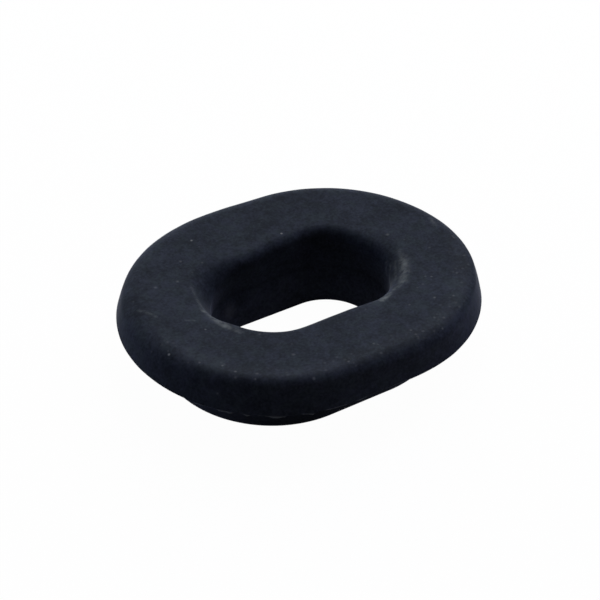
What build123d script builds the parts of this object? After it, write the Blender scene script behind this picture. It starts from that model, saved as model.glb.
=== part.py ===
"""Oblong grommet, moulded in one piece of black rubber.

A wide flange with a soft round edge lies on one side of the panel, a groove takes the panel's
edge, and a smaller flange holds it from the other side. Its top sinks a little towards the bore,
which goes right through and narrows to a sealing lip at the lower end. Every outline is an oblong
with the same straight run, so the whole part is one cross-section carried around that oblong.

Frame: +Z up through the bore, +X along the oblong, origin on the underside at the bore's centre.
"""

import os
from math import radians, tan

from build123d import *

# Plan, millimetres: one straight run, then widths stacked outwards from the bore
straight_run = 6.7          # straight part of each long side, shared by every outline
bore_width = 11.5           # across the bore's straight sides, above the lip
neck_wall = 2.9             # rubber between the bore and the floor of the groove
groove_depth = 2.1          # from the lower flange's rim in to the floor of the groove
flange_lap = 3.85           # how far the upper flange stands out past the lower one

# Heights, millimetres: stacked upwards from the underside
lower_flange_height = 3.1
groove_height = 2.0         # thickness of the panel that the groove takes
upper_flange_height = 3.2
upper_flange_draft = 17.5   # lean of the upper flange's wall, degrees
top_fall = 0.45             # how far the top sinks from the shoulder to the bore

# Sealing lip inside the bore, millimetres
lip_reach = 0.9             # how far the lip stands into the bore on each side
lip_height = 3.75           # where the bore starts to narrow, above the underside

# Rounded edges, millimetres: the edges where two parts of the mould met are left sharp
shoulder_round = 1.9        # upper flange, top outer edge
bore_mouth_round = 1.0      # top edge of the bore
lower_edge_round = 0.6      # lower flange, bottom outer edge

# Distances from the oblong's centre line
bore_half = bore_width / 2
lip_half = bore_half - lip_reach
groove_half = bore_half + neck_wall
lower_half = groove_half + groove_depth
upper_half = lower_half + flange_lap
shoulder_half = upper_half - upper_flange_height * tan(radians(upper_flange_draft))

# Heights above the underside
groove_low = lower_flange_height
groove_high = groove_low + groove_height
top = groove_high + upper_flange_height
bore_top = top - top_fall

# Corners of the cross-section, each with its rounding: (distance out, height), radius
corners = [
    ((lip_half, 0), 0),
    ((lower_half, 0), lower_edge_round),
    ((lower_half, groove_low), 0),
    ((groove_half, groove_low), 0),
    ((groove_half, groove_high), 0),
    ((upper_half, groove_high), 0),
    ((shoulder_half, top), shoulder_round),
    ((bore_half, bore_top), bore_mouth_round),
    ((bore_half, lip_height), 0),
]
points = [point for point, radius in corners]
radii = [radius for point, radius in corners]

# Where the straight side meets the rounded end: the section stands here, facing along +X
end_centre = (straight_run / 2, 0, 0)
section_plane = Plane(origin=end_centre, x_dir=(0, 1, 0), z_dir=(1, 0, 0))
end_axis = Axis(end_centre, (0, 0, -1))

with BuildPart() as grommet:
    with BuildSketch(section_plane) as section:
        with BuildLine():
            FilletPolyline(points, radius=radii, close=True)
        make_face()
    # A quarter of the ring: half of one straight side, then a quarter turn of the end
    extrude(section.sketch, amount=-straight_run / 2)
    revolve(section.sketch, axis=end_axis, revolution_arc=90)
    mirror(about=Plane.XZ)
    mirror(about=Plane.YZ)

grommet.part.label = "grommet"

os.makedirs("parts", exist_ok=True)
export_step(grommet.part, "parts/grommet.step")

box = grommet.part.bounding_box().size
print(f"grommet {box.X:.2f} x {box.Y:.2f} x {box.Z:.2f} mm, {grommet.part.volume:.0f} mm3")
print(f"panel cut-out {2 * groove_half + straight_run:.2f} x {2 * groove_half:.2f} mm")
print(f"bore {bore_width + straight_run:.2f} x {bore_width:.2f} mm")
print(f"lip {2 * lip_half + straight_run:.2f} x {2 * lip_half:.2f} mm")
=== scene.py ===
# %% [markdown]
# # An oblong rubber grommet
# A grommet lines a cut-out in a panel: its groove takes the edge of the sheet, and whatever passes
# through the bore no longer chafes. This one is a single moulding in black rubber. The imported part
# gives its true size and place, and this lesson builds the surface that is looked at: the same
# section carried round the same oblong, with what moulding, handling and dust leave on it.

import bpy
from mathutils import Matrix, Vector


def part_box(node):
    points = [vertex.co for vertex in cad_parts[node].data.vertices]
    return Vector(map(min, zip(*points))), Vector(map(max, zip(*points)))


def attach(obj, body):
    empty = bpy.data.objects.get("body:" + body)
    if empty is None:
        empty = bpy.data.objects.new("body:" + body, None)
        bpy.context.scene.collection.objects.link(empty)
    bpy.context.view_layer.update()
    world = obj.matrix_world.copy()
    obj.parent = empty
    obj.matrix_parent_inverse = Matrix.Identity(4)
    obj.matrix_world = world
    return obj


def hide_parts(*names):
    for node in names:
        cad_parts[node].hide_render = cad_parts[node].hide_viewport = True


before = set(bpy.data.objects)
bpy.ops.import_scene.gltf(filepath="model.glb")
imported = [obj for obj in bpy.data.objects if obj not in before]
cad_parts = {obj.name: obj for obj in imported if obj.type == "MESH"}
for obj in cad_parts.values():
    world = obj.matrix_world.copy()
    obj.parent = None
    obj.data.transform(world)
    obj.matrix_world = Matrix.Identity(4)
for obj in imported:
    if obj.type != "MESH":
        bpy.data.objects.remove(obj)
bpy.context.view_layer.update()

# %% [markdown]
# ## Sizes
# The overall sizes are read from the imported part, so the surface can't drift from it. The oblong is
# two half circles joined by straight sides, and its straight run is simply length less width. The
# sizes inside the outline can't be read from a box, so they are written here, in millimetres.

# %% Name the sizes
import bmesh
import bpy
import math
from mathutils import Matrix, Quaternion, Vector, noise
from mathutils.bvhtree import BVHTree

MM = 0.001

low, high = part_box("grommet")
length, width = (high - low).xy
straight_run = length - width
wall_half = width / 2

bore_half = 5.75 * MM            # centre line to the bore's wall, above the lip
lip_half = 4.85 * MM             # centre line to the lip's edge
groove_half = 8.65 * MM          # centre line to the floor of the groove
lower_half = 10.75 * MM          # centre line to the lower flange's rim
groove_low = 3.1 * MM            # lower flange's upper face
groove_high = 5.1 * MM           # upper flange's lower face
shoulder_top = 8.3 * MM          # where the wall and the top would meet, before the rounding
bore_top = 7.85 * MM             # the same at the bore, since the top sinks a little towards it
lip_height = 3.75 * MM           # where the bore starts to narrow
wall_lean = math.radians(17.5)   # the upper flange's wall leans in, so that it leaves the mould

print("straight run", round(straight_run / MM, 2), "mm, half width", round(wall_half / MM, 2), "mm")

# %% [markdown]
# ## Camera
# A long lens from a hand's breadth away, looking down at about forty degrees onto one rounded end.
# The camera comes before the modelling because a few marks are placed by where they are seen. It is
# aimed at a point a little above the part's middle, so that no lens shift is needed.

# %% Set up the camera
camera_azimuth = math.radians(-33.82)
camera_elevation = math.radians(39.73)
camera_roll = math.radians(1.88)
camera_distance = 164.3 * MM
camera_aim = Vector((1.383, 2.203, 3.129)) * MM
lens = 100.96
sensor = 36.0
picture_size = 600
pixel_side = sensor / lens / picture_size    # at a distance of one

across = math.cos(camera_elevation)
away = Vector((
    math.sin(camera_azimuth) * across,
    -math.cos(camera_azimuth) * across,
    math.sin(camera_elevation),
))
camera_place = away * camera_distance
camera_turn = (camera_aim - camera_place).to_track_quat("-Z", "Y") @ Quaternion((0, 0, 1), camera_roll)

camera_data = bpy.data.cameras.new("camera")
camera_data.lens = lens
camera_data.sensor_width = sensor
camera_data.clip_start = 10 * MM
camera = bpy.data.objects.new("camera", camera_data)
camera.matrix_world = Matrix.Translation(camera_place) @ camera_turn.to_matrix().to_4x4()
bpy.context.scene.collection.objects.link(camera)
bpy.context.scene.camera = camera
print("camera at", [round(side / MM, 1) for side in camera_place], "mm")

# %% [markdown]
# ## The section
# Cut the grommet anywhere and the same shape shows: a wide flange, the groove, a smaller flange and
# the lip in the bore. It could be drawn as a curve, but a wire of corner points is easier to read
# against the sizes above, and a vertex bevel turns each corner into an arc of its own radius. The
# film at the flange's lower edge is flash, the rubber that creeps out where parts of the mould meet.

# %% Draw the wire of corners
flash_reach = 0.13 * MM          # how far the flash stands out where it is longest
flash_root = 0.07 * MM           # its thickness where it leaves the wall
flash_tip = 0.03 * MM            # its thickness at the torn edge
flash_round = 0.03 * MM          # radius between the flash and the wall
shoulder_round = 1.9 * MM        # radius between the wall and the top
mouth_round = 1.0 * MM           # radius between the top and the bore
foot_round = 0.6 * MM            # radius at the underside's outer edge
groove_round = 0.15 * MM         # radius in both corners of the groove
crease_round = 0.12 * MM         # radius where the bore starts to narrow
edge_round = 0.08 * MM           # radius of the edges that the mould left sharp
shoulder_half = wall_half - (shoulder_top - groove_high) * math.tan(wall_lean)

section_corners = [              # distance from the centre line, height, radius
    (lip_half, 0, edge_round),
    (lower_half, 0, foot_round),
    (lower_half, groove_low, edge_round),
    (groove_half, groove_low, groove_round),
    (groove_half, groove_high, groove_round),
    (wall_half + flash_reach, groove_high, 0),
    (wall_half + flash_reach, groove_high + flash_tip, 0),
    (wall_half, groove_high + flash_root, flash_round),
    (shoulder_half, shoulder_top, shoulder_round),
    (bore_half, bore_top, mouth_round),
    (bore_half, lip_height, crease_round),
]

ring = bmesh.new()
section_x = straight_run / 2
wire = [ring.verts.new((section_x, out, z)) for out, z, radius in section_corners]
for start, end in zip(wire, wire[1:] + wire[:1]):
    ring.edges.new((start, end))
print("section corners", len(wire))

# %% Round the corners and divide the long sides
arc_step = 0.16 * MM
least_segments = 3
longest_side = 0.36 * MM


def round_corner(mesh, corner, radius):
    """Bevels one corner of a wire into an arc of that radius."""
    sides = [edge.other_vert(corner).co - corner.co for edge in corner.link_edges]
    between = sides[0].angle(sides[1])
    segments = max(least_segments, math.ceil((math.pi - between) * radius / arc_step))
    bmesh.ops.bevel(mesh, geom=[corner], affect="VERTICES", offset=radius / math.tan(between / 2),
                    offset_type="OFFSET", segments=segments, profile=0.5, material=-1)


for corner, (out, z, radius) in zip(wire, section_corners):
    if radius:
        round_corner(ring, corner, radius)

for side in list(ring.edges):
    cuts = int(side.calc_length() / longest_side)
    if cuts:
        bmesh.ops.subdivide_edges(ring, edges=[side], cuts=cuts)
print("section points", len(ring.verts))

# %% [markdown]
# ## The ring
# The oblong has two planes of symmetry, so a quarter is enough: half of one straight side and a
# quarter turn of one end. A spin does both. With no angle and a step along X it draws the section
# out straight, and with a quarter turn about the end's centre it carries it round. Two mirrors
# complete the ring. A curve with a bevel profile would do it too, but gives no say over the spacing.

# %% Carry the section round
straight_steps = 16
turn_steps = 110

section = list(ring.verts) + list(ring.edges)
end_centre = (section_x, 0, 0)
bmesh.ops.spin(ring, geom=section, cent=end_centre, axis=(0, 0, -1), angle=0, steps=straight_steps,
               dvec=(-section_x / straight_steps, 0, 0))
bmesh.ops.spin(ring, geom=section, cent=end_centre, axis=(0, 0, -1), angle=math.pi / 2, steps=turn_steps)

seam = 0.001 * MM
for axis in "YX":
    whole = list(ring.verts) + list(ring.edges) + list(ring.faces)
    bmesh.ops.mirror(ring, geom=whole, axis=axis, merge_dist=seam)
bmesh.ops.remove_doubles(ring, verts=ring.verts, dist=seam)
bmesh.ops.recalc_face_normals(ring, faces=ring.faces)
open_edges = sum(1 for edge in ring.edges if not edge.is_manifold)
volume = round(ring.calc_volume() / MM ** 3)
print("ring faces", len(ring.faces), "open edges", open_edges, "volume", volume, "mm3")

# %% [markdown]
# ## Edges that differ from place to place
# A bevel of one radius all round looks drawn, and the real part doesn't have it. Its shoulder is crisp
# along the near side and softer at the back, and in the middle of the near side it is worn round again.
# The bore's mouth is rounder at the left end. The bevel could be made anew at each place, but a rounded
# corner that is scaled about its sharp corner keeps to both of its sides and only changes its radius,
# so the points are moved in that way.

# %% Helpers for places round the oblong
def held(share):
    """Keeps a share between 0 and 1."""
    return min(max(share, 0), 1)


def part_of(value, none, full):
    """0 at none, 1 at full, and a soft rise between them."""
    share = held((value - none) / (full - none))
    return share * share * (3 - 2 * share)


def past_straight(point):
    """How far a point lies past the ends of the straight sides."""
    return max(abs(point.x) - straight_run / 2, 0)


def out_from_centre_line(point):
    """Distance from the oblong's centre line, seen from above."""
    return math.hypot(past_straight(point), point.y)


def outwards(point):
    """Direction straight out from the centre line."""
    return Vector((math.copysign(past_straight(point), point.x), point.y, 0)).normalized()


def turned_from(point, middle):
    """How many degrees a point lies round the part from a direction."""
    return abs((math.degrees(math.atan2(point.y, point.x)) - middle + 180) % 360 - 180)


widest = max(out_from_centre_line(point.co) for point in ring.verts)
print("widest", round(widest / MM, 2), "mm from the centre line, flash included")

# %% Round the shoulder more or less
mid_top = (shoulder_half + bore_half) / 2    # a point further out belongs to the shoulder
shoulder_reach = shoulder_round * math.tan(math.radians(45) - wall_lean / 2)
edge_fades = 3.2 * MM            # distance from the corner at which the scaling has died away
crisp_side = Vector((0.19, -0.98, 0))
crisp_facing = (-0.3, 0.7)       # how squarely a place faces that side to be not crisp, fully crisp
crisp_shoulder = 0.5             # share of the shoulder's radius on the crisp side
softer_middle = -78.0            # direction in which the crisp side is worn round again, in degrees
softer_spread = 42.0
softer_by = 0.7                  # share of the crispness that is lost there


def reround(point, corner_out, corner_z, reach, scale):
    """Scales a rounded edge about its sharp corner, less and less beyond its own reach."""
    aside = out_from_centre_line(point.co) - corner_out
    above = point.co.z - corner_z
    kept = (edge_fades - math.hypot(aside, above)) / (edge_fades - reach)
    grown = (scale - 1) * held(kept)
    point.co += outwards(point.co) * aside * grown
    point.co.z += above * grown


for point in ring.verts:
    if out_from_centre_line(point.co) > mid_top:
        crisp = part_of(outwards(point.co).dot(crisp_side), *crisp_facing)
        crisp *= 1 - softer_by * part_of(turned_from(point.co, softer_middle), softer_spread, 0)
        reround(point, shoulder_half, shoulder_top, shoulder_reach, 1 + (crisp_shoulder - 1) * crisp)
print("shoulder rounded anew, at its softest with", shoulder_round / MM, "mm")

# %% Round the mouth more at the left end
round_mouth = 1.6                # times the mouth's radius, at most
round_mouth_middle = 161.0       # its direction from the middle of the part, in degrees
round_mouth_spread = 45.0

for point in ring.verts:
    if out_from_centre_line(point.co) <= mid_top:
        rounder = part_of(turned_from(point.co, round_mouth_middle), round_mouth_spread, 0)
        reround(point, bore_half, bore_top, mouth_round, 1 + (round_mouth - 1) * rounder)
print("mouth rounded anew, from", mouth_round / MM, "to", round(round_mouth * mouth_round / MM, 2), "mm")

# %% [markdown]
# ## A flange that isn't quite true
# Rubber shrinks unevenly while it cures. The upper flange is a little fuller at the shoulder in two
# places, at the back and on the near side, and at both ends its wall swells by a tenth of a millimetre.
# A lattice could bend it so, but it would bend the groove and the bore too. Pushing points straight out
# by a share that fades to nothing leaves the rest of the part as it is.

# %% Fill the shoulder out and swell the wall
fuller_places = (                # direction and spread in degrees, distance outwards at the shoulder
    (96.0, 26.0, 0.25 * MM),
    (-78.0, 42.0, 0.52 * MM),
)
wall_bulge = 0.10 * MM           # how far the wall swells half way up
bulge_facing = (0.4, 0.9)        # how squarely a place faces an end to swell not at all, fully

for point in ring.verts:
    if out_from_centre_line(point.co) > mid_top:
        for middle, spread, distance in fuller_places:
            fuller = part_of(turned_from(point.co, middle), spread, 0)
            fuller *= part_of(point.co.z, groove_high, shoulder_top)
            point.co += outwards(point.co) * distance * fuller
        rise = held((point.co.z - groove_high) / (shoulder_top - groove_high))
        half_way_up = 4 * rise * (1 - rise)
        swell = half_way_up * part_of(abs(outwards(point.co).x), *bulge_facing)
        point.co += outwards(point.co) * wall_bulge * swell
print("shoulder fuller in", len(fuller_places), "places, wall swollen by", wall_bulge / MM, "mm")

# %% [markdown]
# ## The worn bore
# Whatever passes through the bore rubs hardest at its two ends, and there the rounded mouth has gone
# over into a slope with an edge of its own. Such a slope could be cut away, but that would leave a
# hard facet, so the points are let down instead: not at all at the edge of the slope, fully at the
# bore's wall, and less and less away from the middle of the wear. The mouth is not quite true to the
# outline either, since rubber gives, so its rim is drawn in or out a little in three places.

# %% Wear the mouth and draw its rim
worn_ends = (                    # end of the oblong, middle and spread in degrees, width and depth
    (-1, 30.0, 62.0, 1.9 * MM, 1.25 * MM),
    (-1, 12.0, 30.0, 1.2 * MM, 0.5 * MM),
    (1, -35.0, 75.0, 1.5 * MM, 0.9 * MM),
)
rim_drawn = (                    # direction and spread in degrees, distance outwards
    (118.0, 36.0, -0.45 * MM),
    (45.0, 30.0, 0.30 * MM),
    (12.0, 20.0, -0.20 * MM),
)
rim_edge = bore_half + 3 * MM    # beyond this the top stays as it is
mouth_foot = bore_top - mouth_round

let_down = 0
for point in ring.verts:
    out = out_from_centre_line(point.co)
    if out > rim_edge or point.co.z < lip_height:
        continue
    for middle, spread, distance in rim_drawn:
        share = part_of(turned_from(point.co, middle), spread, 0)
        share *= part_of(out, rim_edge, bore_half) * part_of(point.co.z, lip_height, mouth_foot)
        point.co += outwards(point.co) * distance * share
    for end, middle, spread, wear_width, wear_depth in worn_ends:
        from_tip = math.degrees(math.atan2(point.co.y, point.co.x * end - straight_run / 2))
        share = part_of(abs(from_tip - middle), spread, 0)
        share *= held((bore_half + wear_width - out) / wear_width)
        share *= held((point.co.z - lip_height) / (mouth_foot - lip_height))
        point.co.z -= wear_depth * share
        let_down += share > 0
print("points let down", let_down)

# %% [markdown]
# ## What the mould left
# No moulding is perfect. The surface has slow waves a few hundredths of a millimetre high, and the
# flash was torn off by hand, so only scraps of it are left. It could be torn by noise alone, but the
# scraps show on the side that is turned to the camera, so each is named by the columns of the picture
# between which it is seen, by how far it hangs down at either end, by how deeply it is nicked and by
# how many columns it takes to thin out. Anything that stands out past the wall is flash, and that is
# how its points are found. The underside stays flat, because the part rests on it.

# %% Say what is left of the flash
flash_scraps = (                 # columns at its ends, sag there in mm, nicks, columns to thin out
    (192, 206, 0.0, 0.0, 0.9, 3),
    (215, 234, 0.0, 0.1, 0.9, 3),
    (239, 251, 0.0, 0.2, 0.9, 3),
    (256, 287, 0.0, 0.3, 0.9, 3),
    (300, 316, -0.1, 0.4, 0.9, 3),
    (322, 349, 0.0, 0.0, 0.6, 3),
    (354, 371, 0.1, 0.1, 0.3, 6),
    (374, 448, 0.1, 0.0, 0.2, 40),
)
flash_usual = 0.7                # share of the flash that a scrap keeps, before the nicks
flash_least = 0.06               # share that is left between the scraps
nick_length = 0.5 * MM


def column_of(point):
    """Column of the picture at which a point is seen."""
    seen = camera.matrix_world.inverted() @ point
    return picture_size / 2 + seen.x / -seen.z / pixel_side - 0.5


def scrap_at(point):
    """How much of the flash is left at a point, and how far it sags."""
    if outwards(point).dot(away) < 0:
        return flash_least, 0
    column = column_of(point)
    for first, last, sag_first, sag_last, nicks, thin_out in flash_scraps:
        if first < column < last:
            along = (column - first) / (last - first)
            thinned = min(column - first, last - column, thin_out) / thin_out
            nicked = flash_usual + nicks * noise.noise(point / nick_length)
            return max(thinned * nicked, flash_least), (sag_first + (sag_last - sag_first) * along) * MM
    return flash_least, 0


print("scraps of flash", len(flash_scraps))

# %% Tear the flash and let the surface wave
wave_height = 0.03 * MM
wave_lengths = (5.5 * MM, 1.8 * MM)
short_wave = 0.4                 # height of the shorter wave as a share of the longer one's
flat_below = 0.8 * MM

ring.normal_update()
torn = ring.verts.layers.float.new("flash")
torn_points = 0
for point in ring.verts:
    place = point.co.copy()
    if out_from_centre_line(place) - wall_half > flash_reach / 2:
        kept, sag = scrap_at(place)
        point.co -= outwards(place) * flash_reach * (1 - kept)
        point.co.z -= sag * kept
        point[torn] = kept
        torn_points += 1
    fade = held(place.z / flat_below)
    wave = noise.noise(place / wave_lengths[0]) + short_wave * noise.noise(place / wave_lengths[1])
    point.co += point.normal * wave_height * fade * wave
print("points on the torn edge", torn_points)

# %% [markdown]
# ## Marks that are placed one by one
# Dust, scuffs and worn spots have no rule, and neither have the painted shade and painted highlights at
# the bore's rim, so each is named by the pixel of the picture where it is seen. They could be painted on
# an image, but a ray from the camera through that pixel finds the point of the rubber that the mark lies
# on, and from there on it belongs to the surface and stays put from every side. Rays miss triangles as
# small as these when they are measured in metres, so the ray is cast at a copy in millimetres.

# %% Find the rubber under a pixel
rows_to_try = 8                  # a mark close to an edge may be seen just past it

enlarged = ring.copy()
bmesh.ops.scale(enlarged, vec=(1 / MM, 1 / MM, 1 / MM), verts=enlarged.verts)
surface = BVHTree.FromBMesh(enlarged)
enlarged.free()


def under_pixel(column, row):
    """The point of the rubber that is seen at a pixel, in millimetres."""
    right = (column + 0.5 - picture_size / 2) * pixel_side
    up = (picture_size / 2 - row - 0.5) * pixel_side
    ray = camera_turn @ Vector((right, up, -1))
    return surface.ray_cast(camera_place / MM, ray)[0]


def on_the_rubber(pixel):
    """The nearest point of the rubber at or just below a pixel, as a plain tuple in millimetres."""
    column, row = pixel
    for lower in range(rows_to_try):
        point = under_pixel(column, row + lower)
        if point:
            return tuple(point)


def found(spots):
    """Spots named by column and row, each as a point of the rubber, a radius and a strength."""
    return [(on_the_rubber((column, row)), radius, strength) for column, row, radius, strength in spots]


print("rubber under the picture's left third", [round(side, 1) for side in on_the_rubber((160, 300))], "mm")

# %% List the dust specks, one painted pool of light, and the painted shade
specks_and_light_pool = found((            # column, row, radius in millimetres, strength
    (191, 240, 0.17, 0.75), (281, 233, 0.18, 0.75), (168.5, 354, 0.19, 0.8), (205, 329, 0.17, 0.35),
    (177, 281, 0.22, 0.25), (155, 287, 0.24, 0.22), (180, 261, 0.22, 0.22), (217, 393, 0.18, 0.25),
    (199, 362, 0.18, 0.25), (222, 365, 0.18, 0.25), (235, 371, 0.20, 0.3), (387, 234, 0.26, 0.25),
    (431, 276, 0.18, 0.25), (434, 297, 0.20, 0.32), (453, 295, 0.18, 0.25), (442, 328, 0.18, 0.25),
    (373, 343, 0.18, 0.22), (348, 361, 0.18, 0.22), (313.5, 378, 0.24, 0.3), (409, 304, 0.17, 0.2),
    (293, 354, 0.26, 0.2), (235, 377, 0.22, 0.2), (429, 247, 0.20, 0.15), (434, 317, 0.20, 0.15),
    # painted light: a broad soft spot low in the left end of the bore, where light from the right falls
    (229, 311, 1.20, 0.14),
))
painted_shade_spots = found((            # the same for painted shade on the worn slope at the left end
    (206, 300, 1.4, 0.4), (211, 307, 1.1, 0.5), (203, 290, 1.1, 0.2), (213, 310, 0.9, 0.4),
))
print("specks_and_pool", len(specks_and_light_pool), "spots of grime", len(painted_shade_spots))

# %% List what was rubbed pale and where the bore's near rim is painted light
# along the bore's near rim, from column 191 to 242 and near column 385, these spots and the lines below are
# partly scuffs and partly a painted highlight
rub_and_highlight_spots = found((              # column, row, radius in millimetres, strength
    (404, 263.5, 0.55, 1.0), (403, 268, 0.50, 0.7), (401, 276, 0.45, 0.5), (400, 281, 0.35, 0.5),
    (393, 289, 0.30, 0.6), (203.5, 311, 0.48, 0.75), (208, 314.5, 0.40, 0.5), (216.5, 321, 0.48, 0.65),
    (224.5, 325.5, 0.52, 0.95), (229, 327.5, 0.42, 0.6), (236, 330.5, 0.38, 0.45), (155, 316, 0.30, 0.3),
    (385, 297, 0.50, 1.0),
))
seen_rub_and_highlight_lines = (                   # first pixel, last pixel, half width in millimetres, strength
    ((399, 251), (403, 258), 0.60, 0.35), ((403, 258), (404, 272), 0.90, 0.7),
    ((404, 272), (402, 281), 0.85, 0.6), ((402, 282), (394, 289), 0.55, 0.4),
    ((389, 293), (381.5, 299.5), 0.55, 1.0), ((386, 262), (386, 275), 0.35, 0.4),
    ((390, 265), (389, 280), 0.35, 0.3), ((394, 262), (395, 279), 0.40, 0.35),
    ((191, 287), (197, 299), 0.40, 0.3), ((197, 299), (203.5, 309.5), 0.50, 0.45),
    ((203.5, 309.5), (213.5, 318.7), 0.62, 0.65), ((213.5, 318.7), (227.5, 326.7), 0.62, 0.8),
    ((227.5, 326.7), (240, 331.5), 0.50, 0.5), ((185, 319.5), (194, 320), 0.18, 0.35),
    ((138, 310), (151, 314), 0.32, 0.35), ((430, 218), (435, 225), 0.40, 0.4),
)
rub_and_highlight_lines = [(on_the_rubber(mark[0]), on_the_rubber(mark[1]), mark[2], mark[3]) for mark in seen_rub_and_highlight_lines]
print("rubbed spots", len(rub_and_highlight_spots), "rubbed lines", len(rub_and_highlight_lines))

# %% [markdown]
# ## The piece that stands for the imported part
# The real part is one moulding, so its surface is one piece. The flanges and the lip could be pieces
# of their own, which would be easier to change, but then seams would show that no mould leaves. The
# piece lies at the origin, unscaled, takes the imported part's place and body, and gets one material slot,
# for the rubber below.

# %% Turn the mesh into the piece
mesh = bpy.data.meshes.new("moulded_grommet")
ring.to_mesh(mesh)
ring.free()
mesh.shade_smooth()
grommet = bpy.data.objects.new("moulded_grommet", mesh)
bpy.context.scene.collection.objects.link(grommet)
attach(grommet, "root")
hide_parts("grommet")
print("triangles", 2 * len(mesh.polygons))

# %% [markdown]
# ## Rubber
# Black rubber is never quite black. It is filled with soot, which leaves a dark blue-grey, and wax
# and dust bloom on its skin in blotches. It could be one grey with one noise, but up close that looks
# like plastic, so the finish is put on in thin layers, most for something that happened to the part
# and a few for light and shade that are painted on.
# All of it is placed by Object coordinates in millimetres, so a size in the code is a size on the part.
# The shader's own sheen gives the soft bright edge that dusty rubber has where it is seen at a slant.

# %% Helpers for nodes
def add(tree, kind, inputs=(), **settings):
    """Adds a node, with its settings and the values or links of its inputs."""
    made = tree.nodes.new(kind)
    for name, value in settings.items():
        setattr(made, name, value)
    for socket, value in dict(inputs).items():
        if isinstance(value, bpy.types.NodeSocket):
            tree.links.new(value, made.inputs[socket])
        else:
            made.inputs[socket].default_value = value
    return made


def math_node(tree, operation, first, second=0.0):
    """One sum on one or two values."""
    return add(tree, "ShaderNodeMath", {0: first, 1: second}, operation=operation).outputs[0]


def product(tree, first, *others):
    """Several values multiplied one after the other."""
    for other in others:
        first = math_node(tree, "MULTIPLY", first, other)
    return first


def ramp(tree, value, start, end):
    """Rises softly from 0 at start to 1 at end, which may lie the other way round."""
    inputs = {"Value": value, "From Min": start, "From Max": end}
    return add(tree, "ShaderNodeMapRange", inputs, interpolation_type="SMOOTHSTEP").outputs[0]


def mix_colours(tree, factor, first, second):
    """One colour that goes over into another."""
    return add(tree, "ShaderNodeMix", {0: factor, 6: first, 7: second}, data_type="RGBA").outputs[2]


def vector_node(tree, operation, first, second=(0, 0, 0)):
    """One sum on vectors that gives a value."""
    return add(tree, "ShaderNodeVectorMath", {0: first, 1: second}, operation=operation).outputs["Value"]


print("helpers", [made.__name__ for made in (add, math_node, product, ramp, mix_colours, vector_node)])

# %% Start the rubber and measure where a point lies
rubber = bpy.data.materials.new("black_rubber")
rubber.use_nodes = True
tree = rubber.node_tree
shader = tree.nodes["Principled BSDF"]
shader.inputs["Specular IOR Level"].default_value = 0.015
shader.inputs["Sheen Weight"].default_value = 0.14
shader.inputs["Sheen Roughness"].default_value = 0.28
shader.inputs["Sheen Tint"].default_value = (0.75, 0.80, 1.0, 1)

coordinate = add(tree, "ShaderNodeTexCoord")
scaled = {0: coordinate.outputs["Object"], "Scale": 1 / MM}
place_mm = add(tree, "ShaderNodeVectorMath", scaled, operation="SCALE").outputs[0]
x_mm, y_mm, height_mm = add(tree, "ShaderNodeSeparateXYZ", {0: place_mm}).outputs
beyond = math_node(tree, "SUBTRACT", math_node(tree, "ABSOLUTE", x_mm), straight_run / 2 / MM)
beyond = math_node(tree, "MAXIMUM", beyond, 0.0)
flat_place = add(tree, "ShaderNodeCombineXYZ", {0: beyond, 1: y_mm}).outputs[0]
out_mm = vector_node(tree, "LENGTH", flat_place)
facing_up = add(tree, "ShaderNodeSeparateXYZ", {0: coordinate.outputs["Normal"]}).outputs[2]
print("nodes that measure", len(tree.nodes))

# %% Helpers for layers of the finish
def grain(size, detail=2.0, roughness=0.5):
    """Noise whose blotches are about that many millimetres across."""
    inputs = {"Vector": place_mm, "Scale": 1 / size, "Detail": detail, "Roughness": roughness}
    return add(tree, "ShaderNodeTexNoise", inputs).outputs[0]


def strewn(cell, radius):
    """One dot in each cell of a Voronoi pattern, and two chances that belong to that dot."""
    cells = add(tree, "ShaderNodeTexVoronoi", {"Vector": place_mm, "Scale": 1 / cell})
    chances = add(tree, "ShaderNodeSeparateColor", {0: cells.outputs["Color"]}).outputs
    return ramp(tree, cells.outputs["Distance"], radius, 0.0), chances[0], chances[1]


def strongest(layers):
    """The highest of several values at each point."""
    together = layers[0]
    for layer in layers[1:]:
        together = math_node(tree, "MAXIMUM", together, layer)
    return together


def spot(point, radius, strength):
    """A soft round spot."""
    near = ramp(tree, vector_node(tree, "DISTANCE", place_mm, point), radius, 0.0)
    return product(tree, near, strength)


def line(first, last, half_width, strength):
    """A soft line between two points."""
    run = Vector(last) - Vector(first)
    offset = add(tree, "ShaderNodeVectorMath", {0: place_mm, 1: first}, operation="SUBTRACT").outputs[0]
    along = vector_node(tree, "DOT_PRODUCT", offset, run / run.length_squared)
    along = math_node(tree, "MINIMUM", math_node(tree, "MAXIMUM", along, 0.0), 1.0)
    foot = add(tree, "ShaderNodeVectorMath", {0: run, "Scale": along}, operation="SCALE").outputs[0]
    near = ramp(tree, vector_node(tree, "DISTANCE", offset, foot), half_width, 0.0)
    return product(tree, near, strength)


print("layers", [made.__name__ for made in (grain, strewn, strongest, spot, line)])

# %% [markdown]
# ### The rubber itself
# Soot makes the rubber dark, and wax that comes to the surface makes it paler in patches. One noise
# gives patches of one size only, so three are added: slow clouds, a mottle of about a millimetre and
# a fine pepper. Their sum picks a tone between dark and pale, and a fourth noise turns the pale tone
# a little greener here and there.

# %% Mottle the rubber
soot = (0.0127, 0.0150, 0.0206, 1)
skin = (0.0337, 0.0390, 0.0540, 1)
skin_green = (0.0330, 0.0404, 0.0500, 1)
cloud_size, mottle_size, pepper_size, tint_size = 3.2, 0.75, 0.26, 1.1
cloud_share, mottle_share, pepper_share = 0.30, 0.35, 0.35
tone_range = (0.32, 0.68)        # sum of the three at which the rubber is all soot, all skin
tint_range = (0.42, 0.60)

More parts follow.
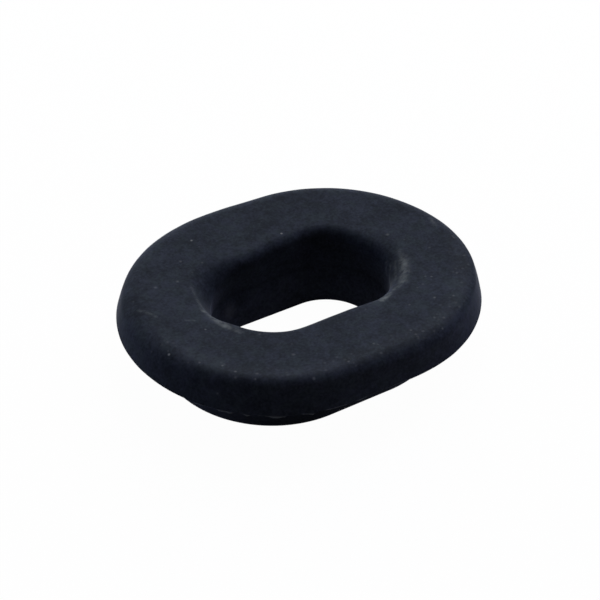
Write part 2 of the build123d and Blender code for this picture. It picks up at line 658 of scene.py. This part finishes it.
mottle = grain(mottle_size, detail=3.0, roughness=0.6)
pepper = grain(pepper_size)
tone = product(tree, grain(cloud_size), cloud_share)
tone = math_node(tree, "ADD", tone, product(tree, mottle, mottle_share))
tone = math_node(tree, "ADD", tone, product(tree, pepper, pepper_share))
pale = mix_colours(tree, ramp(tree, grain(tint_size), *tint_range), skin, skin_green)
colour = mix_colours(tree, ramp(tree, tone, *tone_range), soot, pale)
print("patches of", cloud_size, mottle_size, "and", pepper_size, "mm")

# %% [markdown]
# ### Dust, and painted light on the lower flange
# Dust lies on what faces up. A fine film of it could be one more tone, but a film and loose crumbs
# look different, so there are five layers: a thin film broken by noise, crumbs from a Voronoi pattern
# in which only some cells are chosen, a paler band with finer crumbs along the near edge of the top, a
# paler film on the lower flange that is painted light, since the flange lies in the shade of the groove,
# and the specks found before, one of which is a broad painted pool of light low in the bore.

# %% Lay a film and strew crumbs
dust_and_painted_light = (0.085, 0.090, 0.100, 1)
film_size = 0.22
film_range = (0.56, 0.74)        # noise at which there is no film, a full film
film_facing = (0.55, 0.95)       # how far a face has to look up for no film, a full film
film_strength = 0.10
crumb_cell = 0.85
crumb_radius = 0.22              # as a share of a cell
crumbs_left_out = 0.80           # share of the cells that stay empty
crumb_facing = (0.2, 0.8)
crumb_strength = 0.55

film = ramp(tree, grain(film_size, detail=3.0, roughness=0.6), *film_range)
film = product(tree, film, ramp(tree, facing_up, *film_facing), film_strength)
colour = mix_colours(tree, film, colour, dust_and_painted_light)

dot, chance, paleness = strewn(crumb_cell, crumb_radius)
chosen = math_node(tree, "GREATER_THAN", chance, crumbs_left_out)
crumb_tone = product(tree, paleness, crumb_strength)
crumbs = product(tree, dot, chosen, crumb_tone, ramp(tree, facing_up, *crumb_facing))
colour = mix_colours(tree, crumbs, colour, dust_and_painted_light)
print("film in blotches of", film_size, "mm, a crumb in every fifth cell of", crumb_cell, "mm")

# %% Pale the near edge of the top
band_edges = (shoulder_half / MM - 2.6, shoulder_half / MM - 0.9)    # where it begins, where it is full
band_facing = (0.80, 0.95)
band_near = (1.0, -7.0)          # Y in millimetres at which it begins, at which it is full
band_strength = 0.07
fine_cell = 0.46
fine_radius = 0.50               # as a share of a cell
fine_chance = (0.45, 1.0)        # chance at which a crumb is missing, at which it is full
fine_patch_size = 2.4
fine_patches = (0.38, 0.58)      # noise at which there are no crumbs, all crumbs
fine_band = (0.0, 0.6)           # share of the band at which there are no crumbs, all crumbs
fine_strength = 0.8

near_edge = ramp(tree, out_mm, *band_edges)
near_edge = product(tree, near_edge, ramp(tree, facing_up, *band_facing), ramp(tree, y_mm, *band_near))
colour = mix_colours(tree, product(tree, near_edge, band_strength), colour, dust_and_painted_light)

dot, chance = strewn(fine_cell, fine_radius)[:2]
fine_crumbs = product(tree, dot, ramp(tree, chance, *fine_chance))
fine_crumbs = product(tree, fine_crumbs, ramp(tree, grain(fine_patch_size), *fine_patches))
fine_crumbs = product(tree, fine_crumbs, ramp(tree, near_edge, *fine_band), fine_strength)
colour = mix_colours(tree, fine_crumbs, colour, dust_and_painted_light)
print("band from", round(band_edges[0], 1), "mm outwards, fine crumbs every", fine_cell, "mm")

# %% Paint light on the lower flange and set the specks
pale_dust_and_light = (0.30, 0.31, 0.32, 1)
lower_fade = 0.1                 # height in millimetres over which the painted light ends
low_light_strength = 0.12
speck_strength = 0.7

# painted light: the lower flange lies in the groove's shade and is made paler
painted_light_low = ramp(tree, height_mm, groove_low / MM + lower_fade, groove_low / MM)
outside = ramp(tree, out_mm, bore_half / MM, groove_half / MM)
colour = mix_colours(tree, product(tree, painted_light_low, outside, low_light_strength), colour, dust_and_painted_light)

specks_and_pool = strongest([spot(*mark) for mark in specks_and_light_pool])
colour = mix_colours(tree, product(tree, specks_and_pool, speck_strength), colour, pale_dust_and_light)
print("film up to", round(groove_low / MM, 2), "mm, specks", len(specks_and_light_pool))

# %% [markdown]
# ### Crease and flash
# The crease where the bore starts to narrow, which is found by its height, is darkened with painted
# shade, and so is the worn slope at the left end. The torn flash is thin, so light passes through it
# and it looks paler. A thin sheet of its own could show that, but a paler colour, painted light, does
# as well, found by the value that was written on its points when it was torn.

# %% Darken the crease and lighten the torn flash
painted_shade = (0.004, 0.005, 0.008, 1)
flash_painted_light = (0.105, 0.114, 0.120, 1)
crease_spread = 0.55             # millimetres above and below the crease
crease_depth = (0.4, 0.1)        # millimetres from the bore's wall at which it begins, is full
crease_strength = 0.2
flash_range = (0.1, 0.8)         # share of the flash that is left where it begins, is palest

# painted shade: the crease and the worn slope at the left end are darkened where they lie in shade
from_crease = math_node(tree, "ABSOLUTE", math_node(tree, "SUBTRACT", height_mm, lip_height / MM))
in_bore = ramp(tree, out_mm, bore_half / MM + crease_depth[0], bore_half / MM + crease_depth[1])
crease_shade = product(tree, ramp(tree, from_crease, crease_spread, 0.0), in_bore, crease_strength)
colour = mix_colours(tree, strongest([crease_shade] + [spot(*mark) for mark in painted_shade_spots]), colour, painted_shade)
# painted light: the flash is made paler where more of it is left
flash_left = add(tree, "ShaderNodeAttribute", attribute_name="flash").outputs["Fac"]
colour = mix_colours(tree, ramp(tree, flash_left, *flash_range), colour, flash_painted_light)
print("grime in the crease and in", len(painted_shade_spots), "spots")

# %% [markdown]
# ### Scuffs and a painted highlight
# Where the rim was rubbed, the skin is scraped to a chalky grey, and along the bore's near rim the same
# pale grey is partly a painted highlight, where the rounding catches the light at a slant. A clean line
# would look drawn, so the rubbed lines are broken up by noise, and the spots that were rubbed hardest are
# laid over them.

# %% Rub the rim pale and paint the near rim's highlight
chalk_and_highlight = (0.135, 0.148, 0.152, 1)
streak_size = 0.45
streak_range = (0.36, 0.64)
streak_least = 0.2               # what is left of a line in its gaps
scuff_and_highlight_strength = 0.75

streaks = ramp(tree, grain(streak_size, detail=3.0, roughness=0.7), *streak_range)
streaks = math_node(tree, "ADD", product(tree, streaks, 1 - streak_least), streak_least)
streaks = product(tree, streaks, strongest([line(*mark) for mark in rub_and_highlight_lines]))
rubbed_and_highlit = strongest([streaks] + [spot(*mark) for mark in rub_and_highlight_spots])
# scuffs, and along the near rim a painted highlight
colour = mix_colours(tree, product(tree, rubbed_and_highlit, scuff_and_highlight_strength), colour, chalk_and_highlight)
tree.links.new(colour, shader.inputs["Base Color"])
print("rubbed in", len(rub_and_highlight_lines) + len(rub_and_highlight_spots), "places")

# %% [markdown]
# ### The skin
# The mould was blasted, so the skin is dull, with a grain that can only just be felt. It could have a
# noise of its own, but the same mottle and pepper that set the tone also set the roughness and the
# bump, because on the real part all three come from one skin. The bump is a few hundredths of a
# millimetre, too little to model.

# %% Give the skin its roughness and its fine grain
skin_depth = 0.03 * MM
skin_strength = 0.35
dullness = {"Value": tone, "From Min": 0.38, "From Max": 0.62, "To Min": 0.72, "To Max": 0.88}

tree.links.new(add(tree, "ShaderNodeMapRange", dullness).outputs[0], shader.inputs["Roughness"])
pitted = product(tree, math_node(tree, "ADD", pepper, mottle), 0.5)
fine_bump = {"Height": pitted, "Strength": skin_strength, "Distance": skin_depth}
tree.links.new(add(tree, "ShaderNodeBump", fine_bump).outputs[0], shader.inputs["Normal"])
mesh.materials.append(rubber)
print("nodes in the rubber", len(tree.nodes))

# %% [markdown]
# ## Floor
# The part lies on white paper that is lit from behind until nothing of it shows but white. What the
# camera sees of the floor is therefore nearly all glow, with a small share of plain shaded paper, so
# that the shadow stays. Rays that light the part see another floor: paper that returns a third of the
# light, and a faint glow that is strongest on the right, less on the left and weak in front and behind.
# One plain white floor could serve both, but it would light the dark wall at the front from below.

# %% Lay the floor
floor_side = 1.6
floor_gap = 0.02 * MM

slab = bmesh.new()
bmesh.ops.create_grid(slab, x_segments=1, y_segments=1, size=floor_side / 2)
bmesh.ops.translate(slab, verts=slab.verts, vec=(0, 0, low.z - floor_gap))
floor_mesh = bpy.data.meshes.new("floor")
slab.to_mesh(floor_mesh)
slab.free()
floor = bpy.data.objects.new("floor", floor_mesh)
bpy.context.scene.collection.objects.link(floor)
print("floor", floor_side, "m wide,", round(floor_gap / MM, 2), "mm below the part")

# %% Make the paper white
pure_white = (1, 1, 1, 1)
paper_shade = (0.9, 0.9, 0.9, 1)
white_share = 0.98               # the rest of what is seen is plain shaded paper
paper_return = (0.3, 0.3, 0.3, 1)
glow_tint = (1.03, 1.0, 1.28, 1)
glow_least = 0.03                # straight in front and straight behind
glow_sides = 0.28                # added at both sides
glow_lopsided = 0.10             # added on the right and taken off on the left
behind = Vector((-away.x, -away.y, 0)).normalized()
to_the_right = Vector((behind.y, -behind.x, 0))


def seen_directly(tree):
    """1 for rays that show the background, straight on, mirrored or through glass."""
    path = add(tree, "ShaderNodeLightPath")
    seen = math_node(tree, "MAXIMUM", path.outputs["Is Camera Ray"], path.outputs["Is Glossy Ray"])
    return math_node(tree, "MAXIMUM", seen, path.outputs["Is Transmission Ray"])


paper = bpy.data.materials.new("white_floor")
paper.use_nodes = True
tree = paper.node_tree
tree.nodes.clear()
shaded = add(tree, "ShaderNodeBsdfDiffuse", {"Color": paper_shade})
white = add(tree, "ShaderNodeEmission", {"Color": pure_white, "Strength": 1.0})
shown = add(tree, "ShaderNodeMixShader", {"Fac": white_share, 1: shaded.outputs[0], 2: white.outputs[0]})

on_floor = add(tree, "ShaderNodeTexCoord").outputs["Object"]
heading = add(tree, "ShaderNodeVectorMath", {0: on_floor}, operation="NORMALIZE").outputs[0]
sideways = vector_node(tree, "DOT_PRODUCT", heading, to_the_right)
lopsided = math_node(tree, "ADD", product(tree, sideways, glow_lopsided), glow_sides)
glow = math_node(tree, "ADD", product(tree, sideways, sideways, lopsided), glow_least)
glowing = add(tree, "ShaderNodeEmission", {"Color": glow_tint, "Strength": glow})
bounce = add(tree, "ShaderNodeBsdfDiffuse", {"Color": paper_return})
returned = add(tree, "ShaderNodeAddShader", {0: glowing.outputs[0], 1: bounce.outputs[0]})
choice = {"Fac": seen_directly(tree), 1: returned.outputs[0], 2: shown.outputs[0]}
both = add(tree, "ShaderNodeMixShader", choice)
add(tree, "ShaderNodeOutputMaterial", {"Surface": both.outputs[0]})
floor_mesh.materials.append(paper)
print("nodes in the paper", len(tree.nodes))

# %% [markdown]
# ## Light
# The far side of the part is bright, the wall towards the viewer is nearly black, and the top is even:
# a window behind the part and above it, sky to the right of it, and the low glow of a white backdrop
# behind it and on the left, a little bluer. One large soft box could stand for all of it, but then the
# two ends of the part would look alike. Each light is named by its turn from straight behind the part
# towards the picture's left, and by its height, both in degrees, so moving one is a matter of one number.

# %% Hang the lights
light_distance = 0.5
light_side = 0.25
soft_lights = (                  # name, turn, height, power in watts, colour
    ("window", 0, 35, 1.08, (1.06, 1.00, 0.60)),
    ("window_high", 0, 65, 0.41, (0.80, 1.00, 1.15)),
    ("ceiling", 0, 90, 0.20, (1.08, 1.00, 1.12)),
    ("sky_right", -45, 35, 0.64, (0.88, 1.00, 1.62)),
    ("sky_right_high", -45, 60, 0.35, (1.12, 1.00, 1.20)),
    ("backdrop", 0, 8, 0.50, (1.00, 1.00, 1.10)),
    ("backdrop_left", 45, 8, 1.00, (0.94, 1.00, 1.17)),
    ("backdrop_side", 90, 8, 0.34, (0.82, 1.00, 1.70)),
)

for name, turn, lift, power, tint in soft_lights:
    lamp_data = bpy.data.lights.new(name, "AREA")
    lamp_data.size = light_side
    lamp_data.energy = power
    lamp_data.color = tint
    lamp = bpy.data.objects.new(name, lamp_data)
    swing = Matrix.Rotation(math.radians(turn), 3, "Z")
    lamp.location = swing @ behind * math.cos(math.radians(lift)) * light_distance
    lamp.location.z = math.sin(math.radians(lift)) * light_distance
    lamp.rotation_euler = (-lamp.location).to_track_quat("-Z", "Y").to_euler()
    bpy.context.scene.collection.objects.link(lamp)
    print("light", name, [round(side, 2) for side in lamp.location], power, "W")

# %% [markdown]
# ## Surroundings
# Behind the part the picture is white as well. A white wall all round could give that, but it would
# light the part from every side and wash the dark wall out. So what is seen is white, and what lights
# the part is only a trace of a cool fill, since the lights do the rest.

# %% Surround it with white
fill_tint = (0.9, 0.95, 1.0, 1)
fill_strength = 0.01

world = bpy.data.worlds.new("studio")
bpy.context.scene.world = world
world.use_nodes = True
tree = world.node_tree
tree.nodes.clear()
fill = add(tree, "ShaderNodeBackground", {"Color": fill_tint, "Strength": fill_strength})
white = add(tree, "ShaderNodeBackground", {"Color": pure_white, "Strength": 1.0})
choice = {"Fac": seen_directly(tree), 1: fill.outputs[0], 2: white.outputs[0]}
both = add(tree, "ShaderNodeMixShader", choice)
add(tree, "ShaderNodeOutputWorld", {"Surface": both.outputs[0]})
bpy.context.scene.view_settings.view_transform = "Standard"
print("white surroundings, view transform", bpy.context.scene.view_settings.view_transform)
